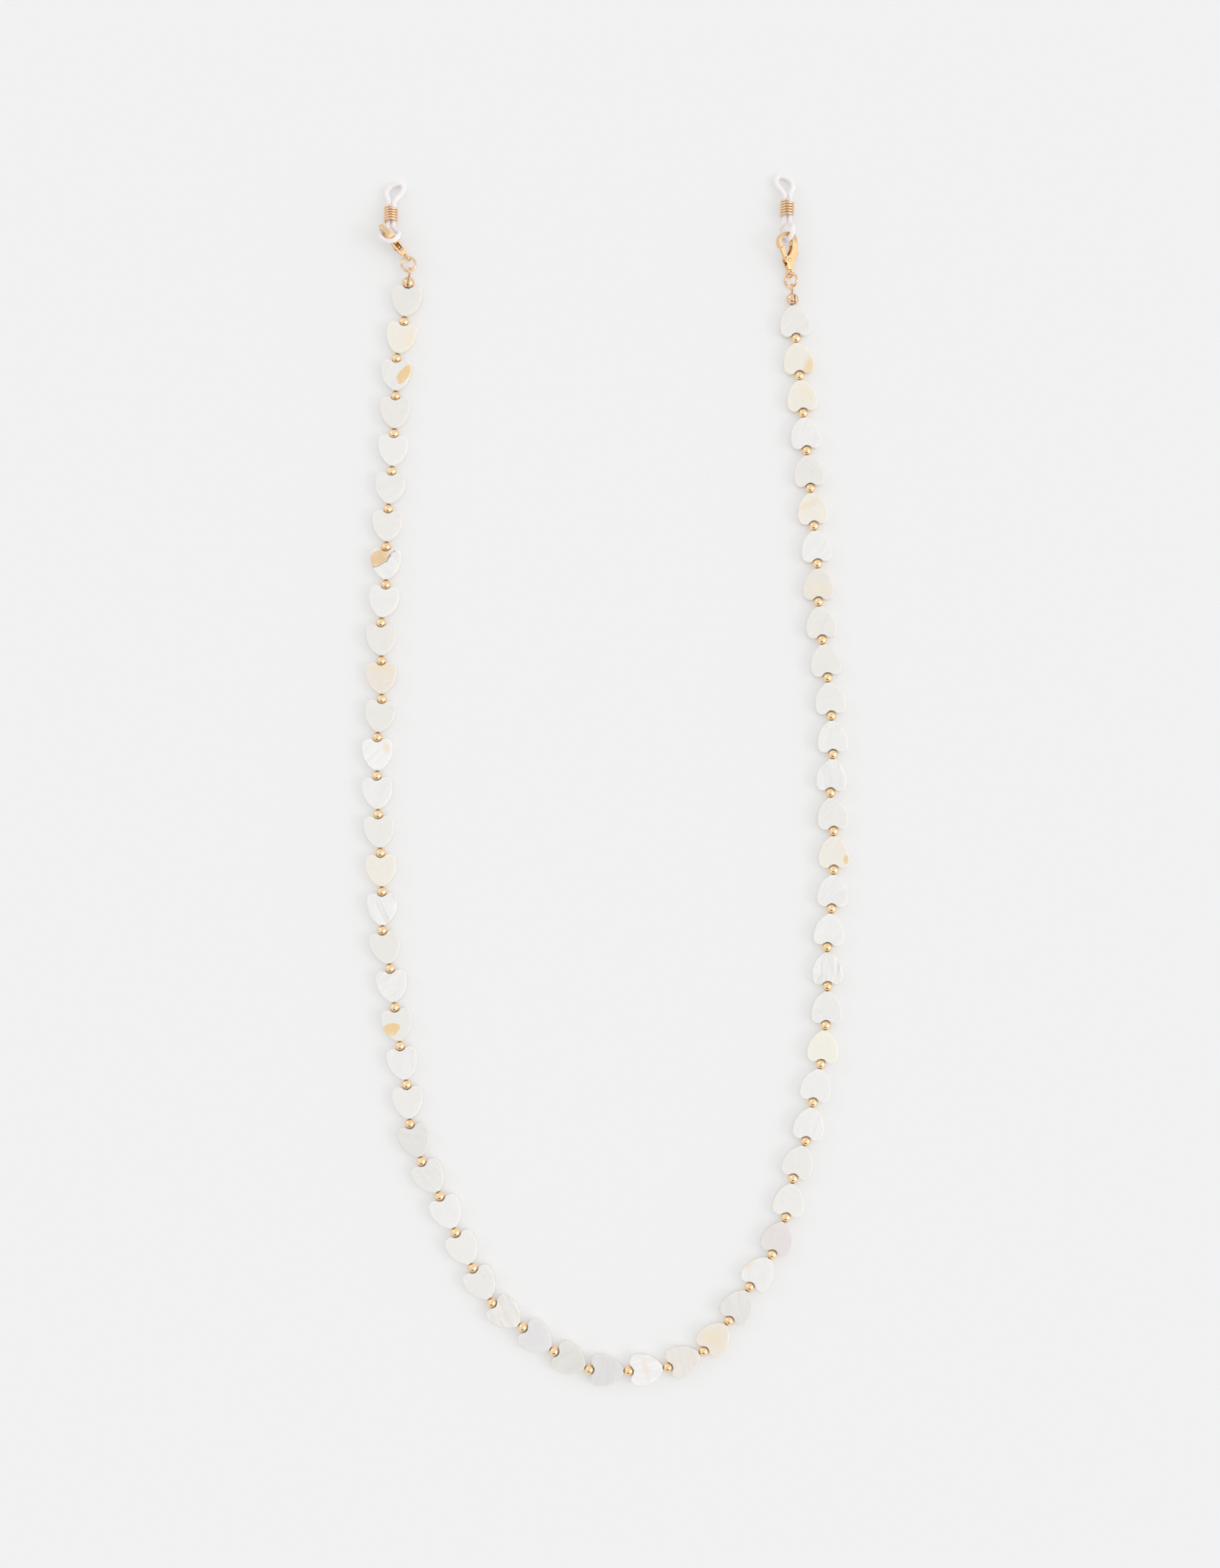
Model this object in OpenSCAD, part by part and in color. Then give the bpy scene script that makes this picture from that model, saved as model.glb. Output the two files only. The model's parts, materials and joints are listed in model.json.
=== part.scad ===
/* [Heart beads] */
// Length of a heart from its lobe tops to its tip
heart_length = 9.75; // [8.5:0.05:13]
// Width of a heart across its lobes
heart_width = 9.4; // [8:0.1:12]
// Thickness of a heart
heart_thickness = 2.8; // [2:0.1:3]
// Depth of the cleft between the lobes
cleft_depth = 1; // [0.8:0.05:1.3]
// Radius of the curve of a heart's side
heart_side_radius = 9; // [8.5:0.5:14]
// Bevel round the two faces of a heart
heart_bevel = 0.35; // [0.1:0.05:0.6]
// Diameter of the hole through a heart
heart_bore = 1; // [0.8:0.05:1.2]

/* [Spacer balls] */
// Diameter of a spacer ball
ball_diameter = 3.2; // [3:0.1:4]
// Diameter of the hole through a ball
ball_bore = 1.3; // [1.2:0.05:1.5]
// Play between a ball and the hearts beside it
bead_gap = 0.08; // [0.05:0.01:0.2]

/* [Cord] */
// Diameter of the stringing cord
cord_diameter = 0.5; // [0.3:0.05:0.6]

/* [Bead tips] */
// Outside diameter of a bead tip's shell
tip_diameter = 3.9; // [3.5:0.1:4.2]
// Wall of the shell
tip_wall = 0.35; // [0.2:0.05:0.45]
// Width of the seam between the two half shells
tip_seam = 0.25; // [0.1:0.05:0.4]
// Width of the curled hook, across its two prongs
hook_wire = 0.8; // [0.6:0.05:0.9]
// Slit between the two prongs
prong_slit = 0.12; // [0.06:0.02:0.2]
// Inside diameter of the curled hook
hook_bore = 1.7; // [1.6:0.05:2]
// Outside diameter of the crimp tube inside the shell
crimp_diameter = 1.6; // [1.3:0.1:1.8]
// Length of the crimp tube
crimp_length = 1.4; // [1:0.1:1.6]

/* [Jump rings] */
// Mean diameter of a jump ring
ring_diameter = 4.4; // [4.2:0.1:5.5]
// Wire of a jump ring
ring_wire = 0.8; // [0.6:0.05:0.85]

/* [Clasps] */
// Length of a clasp from its tail ring to the top of its hook
clasp_length = 14.65; // [14.3:0.05:17]
// Radius of the round opening under the hook
claw_opening = 2.15; // [2.1:0.05:2.3]
// Width of the hook
claw_wire = 1; // [0.9:0.05:1.2]
// Width of the spine, which the hook widens into
spine_width = 2.1; // [1.9:0.1:2.4]
// Greatest thickness of the clasp's body
clasp_thickness = 2.7; // [2.6:0.1:3.2]
// Radius of the domed faces of the clasp
dome_r = 32; // [26:1:44]
// Hole of the tail ring
tail_bore = 1.5; // [1.4:0.05:1.8]
// Wire of the tail ring
tail_wire = 0.8; // [0.6:0.05:0.9]
// Thickness of the lever
lever_thickness = 1.2; // [1:0.05:1.4]
// Play on each side of the lever in its slot
lever_play = 0.08; // [0.05:0.01:0.12]
// Diameter of the rivet
rivet_diameter = 0.9; // [0.8:0.05:1]
// Radial play of the lever on the rivet
rivet_play = 0.05; // [0.03:0.01:0.08]

/* [Silicone loops] */
// Diameter of the silicone tube
tube_diameter = 1.5; // [1.3:0.05:1.55]
// Height of the large eye above the coil
large_eye_height = 8.9; // [8.5:0.1:14]
// Width of the large eye, outside
large_eye_width = 6.5; // [6:0.1:7]
// Height of the small eye below the coil
small_eye_height = 8.8; // [8.8:0.1:10.4]
// Width of the small eye, outside
small_eye_width = 7.4; // [7.2:0.1:8]

/* [Coils] */
// Wire of a coil
coil_wire = 0.55; // [0.4:0.05:0.6]
// Rise of the coil in one turn
coil_pitch = 0.95; // [0.93:0.01:1.1]
// Turns in a coil
coil_turns = 5; // [3.5:0.5:5.5]
// Play between the coil and the silicone inside it
coil_play = 0.15; // [0.1:0.01:0.3]
// Straight silicone that the coil can slide along, each way
coil_travel = 1.2; // [0.8:0.1:2]

/* [Hidden] */
$fn = 48;
LEFT = 0;
RIGHT = 1;
sides = ["left", "right"];

// Direction in degrees in which the strand runs through a heart, as [heart, direction].
// The strand starts at the left end, runs down and round the bottom, and up to the right end.
lay = [
    [1, -96], [2, -101], [3, -91], [5, -93], [6, -95], [8, -90], [9, -97], [10, -89], [11, -89],
    [12, -96], [13, -90], [15, -86], [17, -89], [18, -78], [19, -83], [21, -80], [22, -85],
    [23, -72], [24, -62], [25, -66], [27, -61], [28, -38], [29, -37], [30, -27], [31, -2],
    [32, 5], [33, 24], [34, 50], [35, 58], [36, 55], [37, 69], [38, 79], [39, 71], [40, 79],
    [41, 78], [43, 87], [44, 90], [45, 83], [47, 90], [48, 94], [49, 86], [50, 92], [52, 98],
    [53, 95], [54, 91], [55, 95], [61, 95]
];
heart_count = 61;

// Rigid runs of the strand as [name, first heart, last heart, first ball, last ball].
runs = [
    ["center", 29, 33, 28, 33],
    ["left_1", 24, 28, 23, 27], ["left_2", 19, 23, 18, 22], ["left_3", 14, 18, 13, 17],
    ["left_4", 9, 13, 8, 12], ["left_5", 5, 8, 4, 7], ["left_6", 1, 4, 1, 3],
    ["right_1", 34, 38, 34, 38], ["right_2", 39, 43, 39, 43], ["right_3", 44, 48, 44, 48],
    ["right_4", 49, 53, 49, 53], ["right_5", 54, 57, 54, 57], ["right_6", 58, 61, 58, 60]
];

// Colours
pearl_color = "#e9e6df";
gold_color = "#d9a441";
cord_color = "#f4f1ea";
silicone_color = "#efe9e6";

// Strand
ball_r = ball_diameter / 2;
seat = ball_r + bead_gap;
pitch = heart_length - cleft_depth + 2 * seat;
heart_roll = 2;
roll_step = 137.5;
strand_z = max(ball_r, heart_thickness / 2 + heart_width / 2 * sin(heart_roll));
cord_inset = 0.1;
cord_sides = 8;

function heading(heart) = lookup(heart, lay);
function along(degrees) = [cos(degrees), sin(degrees), 0];
function roll(heart) = heart_roll * sin(heart * roll_step);

// Ball centres, from the left end to the right end, before the part is centred.
raw_spots = [
    for (i = 0, p = [0, 0, 0]; i <= heart_count; i = i + 1, p = p + pitch * along(heading(i))) p
];

// Bead tips: the shell's centre stands off from the last heart.
tip_r = tip_diameter / 2;
tip_standoff = tip_r + 0.3;
tip_hole_r = cord_diameter / 2 + 0.5;
hook_r = (hook_bore + hook_wire) / 2;
hook_at = tip_r + hook_r + 0.45;
hook_slack = (hook_bore - ring_wire) / 2 - 0.15;
hook_open = 40;
tip_hinge = -0.5 * tip_r;
seam_at = -0.35 * tip_r;

// Coil and silicone
tube_r = tube_diameter / 2;
leg_gap = 0.1;
leg_at = tube_r + leg_gap / 2;
coil_r = leg_at + tube_r + coil_play + coil_wire / 2;
coil_length = coil_turns * coil_pitch;
coil_out = coil_r + coil_wire / 2;
coil_rings = 12;
coil_sides = 6;

// How the pieces lie at each end, left and right: directions in degrees, seen from above.
tip_heading = [84, 92];
ring_heading = [102, 98];
ring_roll = [0, -36];
clasp_heading = [131.5, 98];
clasp_pitch = [11.5, 9.6];
clasp_roll = [-90, 28];
coil_heading = [90, 88];
loop_tip = [8.5, 0];
small_eye_roll = [-5, -52];
large_eye_lean = [-2.3, 2.1];

// Clasp, with x from the tail ring to the hook and y towards the gate
tail_r = (tail_bore + tail_wire) / 2;
claw_x = clasp_length - tail_r - tail_wire / 2 - claw_opening - claw_wire;
neck_half = 0.62 * spine_width / 2;
body_half = 1.3 * spine_width / 2;
pivot = [0.43 * claw_x, 0.2];
boss_r = 0.95;
cheek_r = 1.4 * boss_r;
dome_at = [0.62 * claw_x, 0];
tab = [0.16 * claw_x, -1.7 * claw_opening];
tab_half = [0.45, 0.22];
tab_r = 0.52;
slot_start = pivot.x - boss_r - 0.75;
slot_end = pivot.x + tab.x + tab_half.x + 0.15;
hook_end_angle = 123;
hook_end = [claw_x, 0] + (claw_opening + claw_wire) * [cos(hook_end_angle), sin(hook_end_angle)] - pivot;
gate_r = norm(hook_end) - 0.14;
gate_wide = 0.85 * claw_wire;
gate_lean = atan2(hook_end.y, hook_end.x) - asin(boss_r / norm(hook_end)) - 1;
finger = 0.7;
finger_r = norm(hook_end) + 0.18;
head_r = rivet_diameter / 2 + 0.3;
head_t = 0.25;
spring_wire = 0.3;
spring_r = 0.42;
spring_at = [slot_start + 0.65, -1.15];

// Height of a rivet head's seat over the middle of the clasp
rivet_half = clasp_thickness / 2 - dome_r + sqrt(dome_r * dome_r - pow(norm(pivot - dome_at) - head_r, 2));

// Middle line of the clasp from the end of its hook to its tail: x, y and half the width
spine_half = spine_width / 2;
clasp_keys = concat(
    [for (a = [hook_end_angle:-24:-70])
        let (
            share = min(1, max(0, (10 - a) / 90)),
            half = claw_wire / 2 + (spine_half - claw_wire / 2) * share * share * (3 - 2 * share),
            r = claw_opening + half
        )
        [claw_x + r * cos(a), r * sin(a), half]],
    [
        [0.81 * claw_x, -1.26 * claw_opening, spine_half],
        [0.62 * claw_x, -0.85 * claw_opening, 1.08 * spine_half],
        [0.42 * claw_x, -0.28 * claw_opening, body_half],
        [0.25 * claw_x, -0.05 * claw_opening, 0.85 * body_half],
        [tail_r, 0, neck_half]
    ]
);
key_steps = 5;
function key(i) = clasp_keys[min(len(clasp_keys) - 1, max(0, i))];
// Point of a smooth curve through four keys, from the second to the third.
function eased(p, q, r, s, t) =
    q + t * (r - p + t * (2 * p - 5 * q + 4 * r - s + t * (3 * q - p - 3 * r + s))) / 2;
clasp_line = [for (i = [0:key_steps * (len(clasp_keys) - 1)])
    let (k = floor(i / key_steps))
    eased(key(k - 1), key(k), key(k + 1), key(k + 2), i / key_steps - k)];
// Point beside the clasp's middle line, on its left or its right.
function beside(i, side) =
    let (
        d = clasp_line[min(len(clasp_line) - 1, i + 1)] - clasp_line[max(0, i - 1)],
        across = [-d.y, d.x] / norm([d.x, d.y])
    )
    [clasp_line[i].x, clasp_line[i].y] + side * clasp_line[i].z * across;

function turned(v, degrees) = [
    v.x * cos(degrees) - v.y * sin(degrees), v.x * sin(degrees) + v.y * cos(degrees), v.z
];
// A point of a frame that is rolled about x, pitched up and then turned to its heading.
function laid(v, heading, pitch, roll) =
    let (
        r = [v.x, v.y * cos(roll) - v.z * sin(roll), v.y * sin(roll) + v.z * cos(roll)],
        p = [r.x * cos(pitch) - r.z * sin(pitch), r.y, r.x * sin(pitch) + r.z * cos(pitch)]
    )
    turned(p, heading);

// Chain of places from the strand's end to the clasp, before the part is centred
function raw_tip(s) = s == LEFT
    ? raw_spots[0] + (seat - tip_standoff) * along(heading(1)) + [0, 0, tip_r]
    : raw_spots[heart_count] + (tip_standoff - seat) * along(heading(heart_count)) + [0, 0, tip_r];
function raw_hook(s) = raw_tip(s) + (hook_at + hook_slack) * along(tip_heading[s]);
function raw_ring(s) = raw_hook(s) + ring_diameter / 2 * along(ring_heading[s]);
function raw_tail(s) = raw_ring(s) + ring_diameter / 2 * along(ring_heading[s]);

// The silicone's line, with x along the coil towards the large eye and y to its left
coil_end = (coil_length + coil_wire) / 2;
leg_end = coil_end + coil_travel;
large_half = (large_eye_width - tube_diameter) / 2;
small_half = (small_eye_width - tube_diameter) / 2;
large_top = coil_end + large_eye_height - tube_r;
small_top = coil_end + small_eye_height - tube_r;
large_cap = large_top - large_half;
small_cap = small_top - small_half;
leg_steps = 16;
cap_steps = 12;
tube_sides = 10;

function ease(t) =
    let (u = min(1, max(0, t)))
    u * u * (3 - 2 * u);
function leg_half(x) = x > 0
    ? leg_at + (large_half - leg_at) * ease((x - leg_end) / (large_cap - leg_end))
    : leg_at + (small_half - leg_at) * ease((-x - leg_end) / (small_cap - leg_end));

// Where the silicone passes through a clasp: on the left its leg, on the right its bottom.
grip_x = [-(leg_end + small_cap) / 2, -small_top];
grip_half = [leg_half(grip_x[LEFT]), 0];
grip_shift = [0, 0.46];
grip = [[claw_x + 0.9, -0.05], [claw_x + claw_opening - tube_r - 0.8, 0.15]];
function raw_grip(s) =
    raw_tail(s) + laid([grip[s].x, grip[s].y, 0], clasp_heading[s], clasp_pitch[s], clasp_roll[s]);

// A point of the silicone's small eye and legs as it lies on side s, rolled and lifted.
small_lift = [3.75, raw_grip(RIGHT).z - coil_out];
function small_lain(s, x, half) =
    let (
        roll = small_eye_roll[s] * ease((-x - leg_end) / (small_cap - leg_end)),
        lift = small_lift[s] * ease((-x - leg_end) / (small_top - leg_end))
    )
    [x, half * cos(roll), half * sin(roll) + lift];
function raw_coil(s) = raw_grip(s)
    - laid(
        small_lain(s, grip_x[s], grip_half[s]) + [0, grip_shift[s], 0],
        coil_heading[s], -loop_tip[s], 0);
// The large eye droops to the floor and leans to one side.
large_lift = [for (s = [LEFT, RIGHT])
    (tube_r + 0.05 - raw_coil(s).z + large_top * sin(loop_tip[s])) / cos(loop_tip[s])];
function large_lain(s, x, half) =
    let (
        lift = large_lift[s] * ease((x - leg_end) / (large_top - leg_end)),
        lean = large_eye_lean[s] * pow(max(0, x - coil_end) / (large_top - coil_end), 2)
    )
    [x, half + lean, lift];
function lain(s, x, half) = x > 0 ? large_lain(s, x, half) : small_lain(s, x, half);
function loop_line(s) = concat(
    [for (i = [0:cap_steps - 1])
        let (a = -90 + 180 * i / cap_steps)
        lain(s, large_cap + large_half * cos(a), large_half * sin(a))],
    [for (i = [0:leg_steps - 1])
        let (x = large_cap - (large_cap + small_cap) * i / leg_steps)
        lain(s, x, leg_half(x))],
    [for (i = [0:cap_steps - 1])
        let (a = 90 + 180 * i / cap_steps)
        lain(s, -small_cap + small_half * cos(a), small_half * sin(a))],
    [for (i = [0:leg_steps - 1])
        let (x = -small_cap + (large_cap + small_cap) * i / leg_steps)
        lain(s, x, -leg_half(x))]
);

// The part is centred over the origin and lies on the floor.
spots_x = [for (p = raw_spots) p.x];
spots_y = [for (p = raw_spots) p.y];
tops = [for (s = [LEFT, RIGHT])
    raw_coil(s).y + laid(lain(s, large_top, 0), coil_heading[s], -loop_tip[s], 0).y + tube_r];
middle = [
    (min(spots_x) + max(spots_x)) / 2,
    (min(spots_y) - heart_width / 2 + max(tops)) / 2,
    0
];
function spot(ball) = raw_spots[ball] - middle + [0, 0, strand_z];

// Outline of a heart, with the ball before it at the origin and x along the strand
lobe_back = seat - cleft_depth;
lobe_sum = heart_width + 2 * cleft_depth;
lobe_r = (lobe_sum - sqrt(
    pow(lobe_sum, 2) - pow(heart_width, 2) - 4 * (pow(lobe_back, 2) - pow(seat, 2)))) / 2;
lobe = [lobe_back + lobe_r, heart_width / 2 - lobe_r];
tip_x = pitch - seat;
tip_round = 0.75 * heart_length;
tip_half = heart_bore / 2 + 0.2;
tip_corner = [tip_x - tip_round + sqrt(pow(tip_round, 2) - pow(tip_half, 2)), tip_half];
// Meeting point of two circles, on the right of the line from the first to the second.
function circle_meet(p, p_r, q, q_r) =
    let (
        d = norm(q - p),
        u = (q - p) / d,
        m = (d * d + p_r * p_r - q_r * q_r) / (2 * d)
    )
    p + m * u + sqrt(p_r * p_r - m * m) * [u.y, -u.x];
side_at = circle_meet(lobe, heart_side_radius - lobe_r + 0.03, tip_corner, heart_side_radius);
shoulder_x = lobe.x + lobe_r * (lobe - side_at).x / norm(lobe - side_at);

// A disc with both rims bevelled.
module bevelled_disc(r) {
    half = heart_thickness / 2;
    rotate_extrude()
        polygon([
            [0, -half], [r - heart_bevel, -half], [r, heart_bevel - half],
            [r, half - heart_bevel], [r - heart_bevel, half], [0, half]
        ]);
}

// One heart bead, cleft at the ball before it and tip at the ball after it.
module heart() {
    half = heart_thickness / 2;
    difference() {
        union() {
            intersection() {
                translate([side_at.x, side_at.y, 0])
                    bevelled_disc(heart_side_radius);
                translate([side_at.x, -side_at.y, 0])
                    bevelled_disc(heart_side_radius);
                translate([tip_x - tip_round, 0, 0])
                    bevelled_disc(tip_round);
                translate([shoulder_x, -heart_width, -heart_thickness])
                    cube([heart_length, 2 * heart_width, 2 * heart_thickness]);
            }
            for (y = [-lobe.y, lobe.y])
                translate([lobe.x, y, 0])
                    bevelled_disc(lobe_r);
            translate([seat, -lobe.y, -half])
                cube([shoulder_x - seat + 0.3, 2 * lobe.y, heart_thickness]);
        }
        rotate([0, 90, 0])
            cylinder(d = heart_bore, h = pitch);
    }
}

module hearts(run) {
    color(pearl_color)
        for (i = [run[1]:run[2]])
            translate(spot(i - 1))
                rotate([0, 0, heading(i)])
                    rotate([roll(i), 0, 0])
                        heart();
}

// Direction of the hole in a ball, halfway between the hearts beside it.
function bore_heading(ball) = (heading(ball) + heading(ball + 1)) / 2;

module balls(run) {
    color(gold_color)
        for (i = [run[3]:run[4]])
            translate(spot(i))
                rotate([0, 0, bore_heading(i)])
                    rotate([0, 90, 0])
                        difference() {
                            sphere(ball_r);
                            cylinder(d = ball_bore, h = 2 * ball_diameter, center = true);
                        }
}

// A skin over rings of points; the last ring joins the first when the skin is closed.
module skin(rings, closed = false) {
    count = len(rings);
    size = len(rings[0]);
    spans = closed ? count : count - 1;
    points = [for (ring = rings) for (p = ring) p];
    walls = [for (i = [0:spans - 1]) for (k = [0:size - 1])
        let (
            a = i * size + k,
            b = i * size + (k + 1) % size,
            c = ((i + 1) % count) * size + (k + 1) % size,
            d = ((i + 1) % count) * size + k
        )
        for (face = [[a, d, c], [a, c, b]]) face];
    ends = closed ? [] : [
        [for (k = [0:size - 1]) k],
        [for (k = [size - 1:-1:0]) (count - 1) * size + k]
    ];
    polyhedron(points, concat(walls, ends));
}

// A ring of points about p, square to t, starting on the side of the given direction.
function ring_at(p, t, outward, r, count) =
    let (
        t1 = t / norm(t),
        o = outward - (outward * t1) * t1,
        a1 = o / norm(o),
        b1 = cross(t1, a1)
    )
    [for (k = [0:count - 1])
        p + r * (cos(360 * k / count) * a1 + sin(360 * k / count) * b1)];

// Rings along a level line that may rise a little.
function line_rings(line, r, count, closed = false) =
    let (last = len(line) - 1)
    [for (i = [0:last])
        let (
            before = i > 0 ? line[i - 1] : closed ? line[last] : line[0],
            after = i < last ? line[i + 1] : closed ? line[0] : line[last],
            t = after - before
        )
        ring_at(line[i], t, cross([0, 0, 1], t), r, count)];

// Ends of a run's cord: inside the inner heart's hole, inside the outer ball, or in the crimp.
inset = seat + cord_inset;
ball_reach = 0.75 * ball_r;
function tip_at(s) = raw_tip(s) - middle;
function cord_line(run) =
    let (first = run[1], last = run[2], inner = [for (i = [first:last - 1]) spot(i)])
    run[0] == "center"
        ? concat(
            [spot(first - 1) - ball_reach * along(bore_heading(first - 1)), spot(first - 1)],
            inner,
            [spot(last), spot(last) + ball_reach * along(bore_heading(last))])
        : first == 1
        ? concat(
            [tip_at(LEFT) - crimp_length / 2 * along(heading(1)),
             tip_at(LEFT) + crimp_length / 2 * along(heading(1)),
             spot(0) + seat * along(heading(1))],
            inner,
            [spot(last) - inset * along(heading(last))])
        : last == heart_count
        ? concat(
            [spot(first - 1) + inset * along(heading(first))],
            inner,
            [spot(last) - seat * along(heading(last)),
             tip_at(RIGHT) - crimp_length / 2 * along(heading(last)),
             tip_at(RIGHT) + crimp_length / 2 * along(heading(last))])
        : first < runs[0][1]
        ? concat(
            [spot(first - 1) - ball_reach * along(bore_heading(first - 1)), spot(first - 1)],
            inner,
            [spot(last) - inset * along(heading(last))])
        : concat(
            [spot(first - 1) + inset * along(heading(first))],
            inner,
            [spot(last), spot(last) + ball_reach * along(bore_heading(last))]);

module cord(run) {
    color(cord_color)
        skin(line_rings(cord_line(run), cord_diameter / 2, cord_sides));
}

// Half section of the shell and its neck, with the strand's line along y.
module tip_section() {
    neck_r = hook_wire / 2 - 0.03;
    difference() {
        intersection() {
            circle(tip_r);
            translate([0, -tip_r])
                square([tip_r, tip_diameter]);
        }
        circle(tip_r - tip_wall);
        translate([-tip_hole_r, -tip_diameter])
            square([2 * tip_hole_r, tip_diameter]);
    }
    translate([0, tip_r - tip_wall - 0.15])
        square([neck_r, hook_at - hook_r - tip_r + tip_wall + 0.15]);
}

// Shell that closes over the crimp like a clam, with a seam and a curled hook.
module bead_tip(s) {
    color(gold_color)
        translate(tip_at(s))
            rotate([0, 0, tip_heading[s]]) {
                difference() {
                    rotate([0, 90, 0])
                        rotate_extrude()
                            tip_section();
                    translate([tip_hinge, seam_at - tip_seam / 2, -tip_diameter])
                        cube([tip_diameter, tip_seam, 2 * tip_diameter]);
                }
                translate([hook_at, 0, 0])
                    difference() {
                        rotate([90, 0, 0])
                            rotate([0, 0, hook_open - 160])
                                rotate_extrude(angle = 360 - hook_open)
                                    translate([hook_r, 0])
                                        circle(d = hook_wire);
                        translate([hook_wire - hook_r, -prong_slit / 2, -hook_at])
                            cube([hook_at, prong_slit, 2 * hook_at]);
                    }
            }
}

// Tube squeezed on the cord's end inside the bead tip.
module crimp(s) {
    color(gold_color)
        translate(tip_at(s))
            rotate([0, 0, heading(s == LEFT ? 1 : heart_count)])
                rotate([0, 90, 0])
                    difference() {
                        cylinder(d = crimp_diameter, h = crimp_length, center = true);
                        cylinder(d = cord_diameter + 0.04, h = 2 * crimp_length, center = true);
                    }
}

ring_cut = 5;

// Open wire ring between the bead tip's hook and the clasp's tail.
module jump_ring(s) {
    color(gold_color)
        translate(raw_ring(s) - middle)
            rotate([0, 0, ring_heading[s]])
                rotate([ring_roll[s], 0, 0])
                    rotate([0, 0, 90 + ring_cut / 2])
                        rotate_extrude(angle = 360 - ring_cut)
                            translate([ring_diameter / 2, 0])
                                circle(d = ring_wire);
}

// Places a clasp piece on its side of the part.
module on_clasp(s) {
    translate(raw_tail(s) - middle)
        rotate([0, 0, clasp_heading[s]])
            rotate([0, -clasp_pitch[s], 0])
                rotate([clasp_roll[s], 0, 0])
                    children();
}

// Clasp before its faces are domed: hook, spine and tail in one sweep, and cheeks about the rivet.
module clasp_plate() {
    count = len(clasp_line) - 1;
    linear_extrude(2 * clasp_thickness, center = true)
        polygon(concat(
            [for (i = [0:count]) beside(i, 1)],
            [for (i = [count:-1:0]) beside(i, -1)]
        ));
    translate([pivot.x, pivot.y, 0])
        cylinder(r = cheek_r, h = 2 * clasp_thickness, center = true);
}

// Large ball that domes one face of the clasp.
module dome(side) {
    translate([dome_at.x, dome_at.y, side * (clasp_thickness / 2 - dome_r)])
        sphere(dome_r, $fn = 192);
}

// Slot for the lever, with a narrow end that runs up the inside of the spine.
module lever_slot() {
    high = lever_thickness + 2 * lever_play;
    translate([slot_start, -3 * claw_opening, -high / 2])
        cube([slot_end - slot_start, 6 * claw_opening, high]);
    translate([slot_start, -1.26 * claw_opening, -high / 2])
        cube([0.87 * claw_x - slot_start, 1.26 * claw_opening, high]);
}

module clasp_body(s) {
    color(gold_color)
        on_clasp(s) {
            difference() {
                intersection() {
                    clasp_plate();
                    dome(-1);
                    dome(1);
                }
                lever_slot();
                translate([pivot.x, pivot.y, 0])
                    cylinder(d = rivet_diameter + 0.04, h = 2 * clasp_thickness, center = true);
            }
            difference() {
                rotate_extrude()
                    translate([tail_r, 0])
                        circle(d = tail_wire);
                translate([tail_r + 0.2, -spine_width, -clasp_thickness])
                    cube([clasp_length, 2 * spine_width, 2 * clasp_thickness]);
            }
        }
}

// Gate lever: a finger that closes under the hook and a thumb tab out through the spine.
module clasp_lever(s) {
    color(gold_color)
        on_clasp(s)
            translate([pivot.x, pivot.y, 0])
                difference() {
                    union() {
                        cylinder(r = boss_r, h = lever_thickness, center = true);
                        intersection() {
                            rotate([0, 0, gate_lean])
                                linear_extrude(lever_thickness, center = true)
                                    polygon([
                                        [0, boss_r], [gate_r, boss_r],
                                        [gate_r, boss_r - gate_wide], [0, -boss_r / 2]
                                    ]);
                            cylinder(r = gate_r, h = 2 * lever_thickness, center = true);
                        }
                        intersection() {
                            translate([gate_r / 2, finger, -lever_thickness / 2])
                                cube([finger_r, finger, lever_thickness]);
                            cylinder(r = finger_r, h = 2 * lever_thickness, center = true);
                        }
                        linear_extrude(lever_thickness, center = true)
                            polygon([
                                [-0.1, -0.9], [0.9, 0.2], tab + tab_half, tab - tab_half
                            ]);
                        translate([tab.x, tab.y, 0])
                            cylinder(r = tab_r, h = lever_thickness, center = true);
                    }
                    cylinder(d = rivet_diameter + 2 * rivet_play, h = 2 * lever_thickness, center = true);
                }
}

module clasp_rivet(s) {
    cap_r = (head_r * head_r + head_t * head_t) / (2 * head_t);
    color(gold_color)
        on_clasp(s)
            translate([pivot.x, pivot.y, 0]) {
                cylinder(d = rivet_diameter, h = 2 * rivet_half + 0.1, center = true);
                for (side = [0, 180])
                    rotate([side, 0, 0])
                        translate([0, 0, rivet_half])
                            intersection() {
                                translate([0, 0, head_t - cap_r])
                                    sphere(cap_r);
                                cylinder(r = head_r, h = 2 * head_t);
                            }
            }
}

// Small open wire ring that pushes the lever shut.
module clasp_spring(s) {
    color(gold_color)
        on_clasp(s)
            translate([spring_at.x, spring_at.y, 0])
                rotate([0, 0, 60])
                    rotate_extrude(angle = 300)
                        translate([spring_r, 0])
                            circle(d = spring_wire);
}

// Places a piece of the silicone loop or its coil on its side of the part.
module on_coil(s) {
    translate(raw_coil(s) - middle)
        rotate([0, 0, coil_heading[s]])
            rotate([0, loop_tip[s], 0])
                children();
}

module temple_loop(s) {
    color(silicone_color)
        on_coil(s)
            skin(line_rings(loop_line(s), tube_r, tube_sides, true), true);
}

coil_steps = coil_turns * coil_rings;
coil_line = [for (i = [0:coil_steps])
    let (a = 360 * i / coil_rings)
    [coil_pitch * i / coil_rings - coil_length / 2, coil_r * cos(a), coil_r * sin(a)]];
coil_skin = [for (i = [0:coil_steps])
    let (a = 360 * i / coil_rings)
    ring_at(
        coil_line[i],
        [coil_pitch / 360, -coil_r * sin(a) * PI / 180, coil_r * cos(a) * PI / 180],
        [0, cos(a), sin(a)], coil_wire / 2, coil_sides)];

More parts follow.
